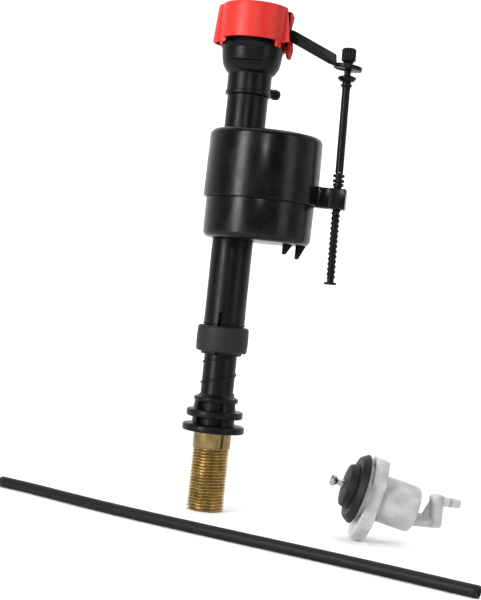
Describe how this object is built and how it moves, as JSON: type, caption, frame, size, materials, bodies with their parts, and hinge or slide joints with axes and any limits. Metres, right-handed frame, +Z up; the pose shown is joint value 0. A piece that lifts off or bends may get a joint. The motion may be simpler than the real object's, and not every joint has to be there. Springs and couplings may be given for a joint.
{
  "type": "toilet fill valve",
  "caption": "Bottom-entry toilet fill valve with an off-centre float cup on a telescoping riser, with its refill tube and refill adaptor.",
  "frame": {"origin": "on the riser axis at the underside of the tank flange, in the plane of the tank floor", "axes": "+Z up along the riser, +X from the riser towards the float rod, -Y the front; the threaded shank points down -Z"},
  "size_m": [0.2846, 0.1844, 0.301],
  "materials": {
    "machined_brass": "machined, slightly dulled",
    "black_rubber": "moulded",
    "black_polypropylene": "injection moulded",
    "charcoal_acetal": "injection moulded",
    "stainless_steel": "turned",
    "red_acetal": "injection moulded",
    "natural_polypropylene": "injection moulded, milky",
    "black_vinyl": "extruded"
  },
  "bodies": {
    "base": {"brass_shank": "machined_brass", "shank_o_ring": "black_rubber", "base_tube": "black_polypropylene", "refill_tube": "black_vinyl", "adaptor_body": "natural_polypropylene", "adaptor_seal": "black_rubber"},
    "height_carriage": {"pipe_o_ring": "black_rubber"},
    "riser": {"riser_tube": "black_polypropylene", "supply_pipe": "black_polypropylene", "valve_body": "black_polypropylene"},
    "lock_collar": {"lock_ring": "charcoal_acetal"},
    "seal": {"valve_seal": "black_rubber", "seal_pin": "stainless_steel"},
    "cap_body": {"cap": "red_acetal"},
    "lever_arm": {"lever": "black_polypropylene"},
    "rod_collar": {"rod_swivel": "black_polypropylene"},
    "rod": {"level_rod": "black_polypropylene"},
    "float": {"float_upper": "black_polypropylene", "float_lower": "black_polypropylene", "float_clip": "black_polypropylene"},
    "adaptor_plunger": {"adaptor_pin": "stainless_steel"}
  },
  "joints": [
    {"name": "height_lift", "type": "slide", "parent": "base", "child": "height_carriage", "axis": [0, 0, 1], "range_m": [-0.021, 0.096]},
    {"name": "height_turn", "type": "hinge", "parent": "height_carriage", "child": "riser", "pos_m": [0, 0, 0.05], "axis": [0, 0, 1], "range_deg": [-617.14, 2821.22]},
    {"name": "lock_turn", "type": "hinge", "parent": "riser", "child": "lock_collar", "pos_m": [0, 0, 0.056], "axis": [0, 0, 1], "range_deg": [0, 25]},
    {"name": "seal_travel", "type": "slide", "parent": "riser", "child": "seal", "axis": [0, 0, 1], "range_m": [-0.0008, 0]},
    {"name": "cap_turn", "type": "hinge", "parent": "riser", "child": "cap_body", "pos_m": [0, 0, 0.24], "axis": [0, 0, 1], "range_deg": [0, 45]},
    {"name": "lever_swing", "type": "hinge", "parent": "cap_body", "child": "lever_arm", "pos_m": [0.0175, 0, 0.2408], "axis": [0, -1, 0], "range_deg": [0, 27]},
    {"name": "float_travel", "type": "slide", "parent": "cap_body", "child": "rod_collar", "axis": [0, 0, 1], "range_m": [0, 0.0208]},
    {"name": "rod_spin", "type": "hinge", "parent": "rod_collar", "child": "rod", "pos_m": [0.0605, 0, 0.094], "axis": [-0.0223, 0, 0.9998], "range_deg": [0, 3960]},
    {"name": "level_set", "type": "slide", "parent": "rod_collar", "child": "float", "axis": [-0.0223, 0, 0.9998], "range_m": [-0.033, 0]},
    {"name": "pin_travel", "type": "slide", "parent": "base", "child": "adaptor_plunger", "axis": [-0.9467, -0.2255, 0.2301], "range_m": [-0.002, 0], "stiffness_N_per_m": 400}
  ],
  "couplings": [
    {"joint": "height_turn", "follows": "height_lift", "rad_per_m": 512.91},
    {"joint": "lever_swing", "follows": "float_travel", "rad_per_m": 22.656},
    {"joint": "seal_travel", "follows": "float_travel", "ratio": -0.038462},
    {"joint": "rod_spin", "follows": "level_set", "rad_per_m": -2094.4}
  ]
}
